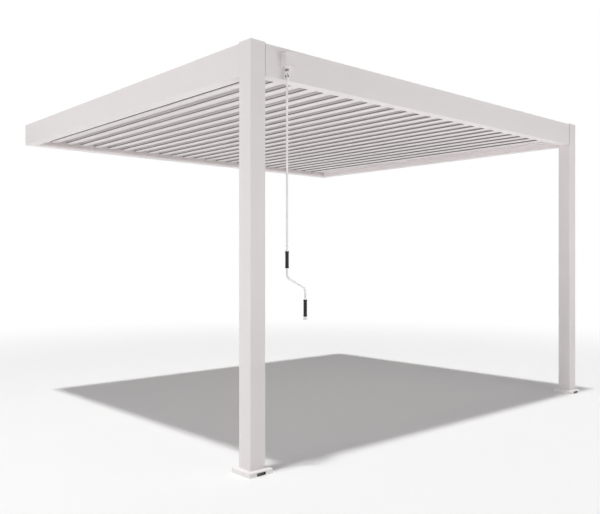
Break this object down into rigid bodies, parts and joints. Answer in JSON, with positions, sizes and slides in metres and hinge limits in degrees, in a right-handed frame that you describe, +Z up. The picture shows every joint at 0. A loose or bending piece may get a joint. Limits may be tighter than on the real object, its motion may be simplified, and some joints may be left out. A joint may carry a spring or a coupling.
{
  "type": "pergola",
  "caption": "Lean-to pergola on two square posts, fixed to a wall, with gutters inside its box beams and a roof of turning louvres that a hanging crank opens.",
  "frame": {"origin": "on the wall, at the middle of the wall beam's back face", "axes": "+X along the front beam to the right, +Y into the wall, +Z up"},
  "size_m": [3.9, 3.5055, 2.5],
  "materials": {
    "white_frame": "fine satin powder coat",
    "white_louvre": "fine satin powder coat",
    "white_rod": "smooth coated rod",
    "grey_metal": "zinc-plated, dull",
    "black_grip": "moulded, fine texture"
  },
  "bodies": {
    "frame": {"left_post": "white_frame", "right_post": "white_frame", "left_post_cap": "white_frame", "right_post_cap": "white_frame", "left_base_plate": "grey_metal", "right_base_plate": "grey_metal", "left_foot_cover": "white_frame", "right_foot_cover": "white_frame", "front_beam": "white_frame", "left_beam": "white_frame", "right_beam": "white_frame", "wall_beam": "white_frame", "left_wall_cap": "white_frame", "right_wall_cap": "white_frame", "front_gutter": "white_frame", "left_gutter": "white_frame", "right_gutter": "white_frame", "wall_gutter": "white_frame", "gearbox_housing": "white_frame", "gearbox_collar": "white_frame"},
    "louvre_01": {"louvre_01": "white_louvre"},
    "louvre_02": {"louvre_02": "white_louvre"},
    "louvre_03": {"louvre_03": "white_louvre"},
    "louvre_04": {"louvre_04": "white_louvre"},
    "louvre_05": {"louvre_05": "white_louvre"},
    "louvre_06": {"louvre_06": "white_louvre"},
    "louvre_07": {"louvre_07": "white_louvre"},
    "louvre_08": {"louvre_08": "white_louvre"},
    "louvre_09": {"louvre_09": "white_louvre"},
    "louvre_10": {"louvre_10": "white_louvre"},
    "louvre_11": {"louvre_11": "white_louvre"},
    "louvre_12": {"louvre_12": "white_louvre"},
    "louvre_13": {"louvre_13": "white_louvre"},
    "louvre_14": {"louvre_14": "white_louvre"},
    "louvre_15": {"louvre_15": "white_louvre"},
    "louvre_16": {"louvre_16": "white_louvre"},
    "louvre_17": {"louvre_17": "white_louvre"},
    "louvre_18": {"louvre_18": "white_louvre"},
    "louvre_19": {"louvre_19": "white_louvre"},
    "louvre_20": {"louvre_20": "white_louvre"},
    "louvre_21": {"louvre_21": "white_louvre"},
    "louvre_22": {"louvre_22": "white_louvre"},
    "louvre_23": {"louvre_23": "white_louvre"},
    "louvre_24": {"louvre_24": "white_louvre"},
    "tie_bar": {"tie_bar": "grey_metal"},
    "crank_yoke": {"crank_yoke": "white_rod"},
    "crank_cross": {"crank_cross": "grey_metal"},
    "crank_rod": {"crank_head": "white_rod", "crank_rod": "white_rod"},
    "upper_grip": {"upper_grip": "black_grip"},
    "lower_grip": {"lower_grip": "black_grip"}
  },
  "joints": [
    {"name": "louvre_01_turn", "type": "hinge", "parent": "frame", "child": "louvre_01", "pos_m": [-1.681, -1.705, -0.036], "axis": [0, -1, 0], "range_deg": [0, 90]},
    {"name": "louvre_02_turn", "type": "hinge", "parent": "frame", "child": "louvre_02", "pos_m": [-1.53542, -1.705, -0.036], "axis": [0, -1, 0], "range_deg": [0, 90]},
    {"name": "louvre_03_turn", "type": "hinge", "parent": "frame", "child": "louvre_03", "pos_m": [-1.38983, -1.705, -0.036], "axis": [0, -1, 0], "range_deg": [0, 90]},
    {"name": "louvre_04_turn", "type": "hinge", "parent": "frame", "child": "louvre_04", "pos_m": [-1.24425, -1.705, -0.036], "axis": [0, -1, 0], "range_deg": [0, 90]},
    {"name": "louvre_05_turn", "type": "hinge", "parent": "frame", "child": "louvre_05", "pos_m": [-1.09867, -1.705, -0.036], "axis": [0, -1, 0], "range_deg": [0, 90]},
    {"name": "louvre_06_turn", "type": "hinge", "parent": "frame", "child": "louvre_06", "pos_m": [-0.95308, -1.705, -0.036], "axis": [0, -1, 0], "range_deg": [0, 90]},
    {"name": "louvre_07_turn", "type": "hinge", "parent": "frame", "child": "louvre_07", "pos_m": [-0.8075, -1.705, -0.036], "axis": [0, -1, 0], "range_deg": [0, 90]},
    {"name": "louvre_08_turn", "type": "hinge", "parent": "frame", "child": "louvre_08", "pos_m": [-0.66192, -1.705, -0.036], "axis": [0, -1, 0], "range_deg": [0, 90]},
    {"name": "louvre_09_turn", "type": "hinge", "parent": "frame", "child": "louvre_09", "pos_m": [-0.51633, -1.705, -0.036], "axis": [0, -1, 0], "range_deg": [0, 90]},
    {"name": "louvre_10_turn", "type": "hinge", "parent": "frame", "child": "louvre_10", "pos_m": [-0.37075, -1.705, -0.036], "axis": [0, -1, 0], "range_deg": [0, 90]},
    {"name": "louvre_11_turn", "type": "hinge", "parent": "frame", "child": "louvre_11", "pos_m": [-0.22517, -1.705, -0.036], "axis": [0, -1, 0], "range_deg": [0, 90]},
    {"name": "louvre_12_turn", "type": "hinge", "parent": "frame", "child": "louvre_12", "pos_m": [-0.07958, -1.705, -0.036], "axis": [0, -1, 0], "range_deg": [0, 90]},
    {"name": "louvre_13_turn", "type": "hinge", "parent": "frame", "child": "louvre_13", "pos_m": [0.066, -1.705, -0.036], "axis": [0, -1, 0], "range_deg": [0, 90]},
    {"name": "louvre_14_turn", "type": "hinge", "parent": "frame", "child": "louvre_14", "pos_m": [0.21158, -1.705, -0.036], "axis": [0, -1, 0], "range_deg": [0, 90]},
    {"name": "louvre_15_turn", "type": "hinge", "parent": "frame", "child": "louvre_15", "pos_m": [0.35717, -1.705, -0.036], "axis": [0, -1, 0], "range_deg": [0, 90]},
    {"name": "louvre_16_turn", "type": "hinge", "parent": "frame", "child": "louvre_16", "pos_m": [0.50275, -1.705, -0.036], "axis": [0, -1, 0], "range_deg": [0, 90]},
    {"name": "louvre_17_turn", "type": "hinge", "parent": "frame", "child": "louvre_17", "pos_m": [0.64833, -1.705, -0.036], "axis": [0, -1, 0], "range_deg": [0, 90]},
    {"name": "louvre_18_turn", "type": "hinge", "parent": "frame", "child": "louvre_18", "pos_m": [0.79392, -1.705, -0.036], "axis": [0, -1, 0], "range_deg": [0, 90]},
    {"name": "louvre_19_turn", "type": "hinge", "parent": "frame", "child": "louvre_19", "pos_m": [0.9395, -1.705, -0.036], "axis": [0, -1, 0], "range_deg": [0, 90]},
    {"name": "louvre_20_turn", "type": "hinge", "parent": "frame", "child": "louvre_20", "pos_m": [1.08508, -1.705, -0.036], "axis": [0, -1, 0], "range_deg": [0, 90]},
    {"name": "louvre_21_turn", "type": "hinge", "parent": "frame", "child": "louvre_21", "pos_m": [1.23067, -1.705, -0.036], "axis": [0, -1, 0], "range_deg": [0, 90]},
    {"name": "louvre_22_turn", "type": "hinge", "parent": "frame", "child": "louvre_22", "pos_m": [1.37625, -1.705, -0.036], "axis": [0, -1, 0], "range_deg": [0, 90]},
    {"name": "louvre_23_turn", "type": "hinge", "parent": "frame", "child": "louvre_23", "pos_m": [1.52183, -1.705, -0.036], "axis": [0, -1, 0], "range_deg": [0, 90]},
    {"name": "louvre_24_turn", "type": "hinge", "parent": "frame", "child": "louvre_24", "pos_m": [1.66742, -1.705, -0.036], "axis": [0, -1, 0], "range_deg": [0, 90]},
    {"name": "tie_bar_swing", "type": "hinge", "parent": "louvre_01", "child": "tie_bar", "pos_m": [-1.65342, -3.356, -0.01286], "axis": [0, -1, 0], "range_deg": [-90, 0]},
    {"name": "crank_turn", "type": "hinge", "parent": "frame", "child": "crank_yoke", "pos_m": [-1.67, -3.439, -0.08], "axis": [0, 0, 1], "range_deg": [0, 1080]},
    {"name": "knuckle_swing_out", "type": "hinge", "parent": "crank_yoke", "child": "crank_cross", "pos_m": [-1.67, -3.439, -0.08], "axis": [-1, 0, 0], "range_deg": [0, 40]},
    {"name": "knuckle_swing_side", "type": "hinge", "parent": "crank_cross", "child": "crank_rod", "pos_m": [-1.67, -3.439, -0.08], "axis": [0, 1, 0], "range_deg": [-15, 15]},
    {"name": "upper_grip_spin", "type": "hinge", "parent": "crank_rod", "child": "upper_grip", "pos_m": [-1.67, -3.439, -1.161], "axis": [0, 0, 1], "continuous": true},
    {"name": "lower_grip_spin", "type": "hinge", "parent": "crank_rod", "child": "lower_grip", "pos_m": [-1.57474, -3.494, -1.448], "axis": [0, 0, 1], "continuous": true}
  ],
  "couplings": [
    {"joint": "louvre_02_turn", "follows": "louvre_01_turn", "ratio": 1},
    {"joint": "louvre_03_turn", "follows": "louvre_01_turn", "ratio": 1},
    {"joint": "louvre_04_turn", "follows": "louvre_01_turn", "ratio": 1},
    {"joint": "louvre_05_turn", "follows": "louvre_01_turn", "ratio": 1},
    {"joint": "louvre_06_turn", "follows": "louvre_01_turn", "ratio": 1},
    {"joint": "louvre_07_turn", "follows": "louvre_01_turn", "ratio": 1},
    {"joint": "louvre_08_turn", "follows": "louvre_01_turn", "ratio": 1},
    {"joint": "louvre_09_turn", "follows": "louvre_01_turn", "ratio": 1},
    {"joint": "louvre_10_turn", "follows": "louvre_01_turn", "ratio": 1},
    {"joint": "louvre_11_turn", "follows": "louvre_01_turn", "ratio": 1},
    {"joint": "louvre_12_turn", "follows": "louvre_01_turn", "ratio": 1},
    {"joint": "louvre_13_turn", "follows": "louvre_01_turn", "ratio": 1},
    {"joint": "louvre_14_turn", "follows": "louvre_01_turn", "ratio": 1},
    {"joint": "louvre_15_turn", "follows": "louvre_01_turn", "ratio": 1},
    {"joint": "louvre_16_turn", "follows": "louvre_01_turn", "ratio": 1},
    {"joint": "louvre_17_turn", "follows": "louvre_01_turn", "ratio": 1},
    {"joint": "louvre_18_turn", "follows": "louvre_01_turn", "ratio": 1},
    {"joint": "louvre_19_turn", "follows": "louvre_01_turn", "ratio": 1},
    {"joint": "louvre_20_turn", "follows": "louvre_01_turn", "ratio": 1},
    {"joint": "louvre_21_turn", "follows": "louvre_01_turn", "ratio": 1},
    {"joint": "louvre_22_turn", "follows": "louvre_01_turn", "ratio": 1},
    {"joint": "louvre_23_turn", "follows": "louvre_01_turn", "ratio": 1},
    {"joint": "louvre_24_turn", "follows": "louvre_01_turn", "ratio": 1},
    {"joint": "tie_bar_swing", "follows": "louvre_01_turn", "ratio": -1},
    {"joint": "crank_turn", "follows": "louvre_01_turn", "ratio": 12}
  ]
}
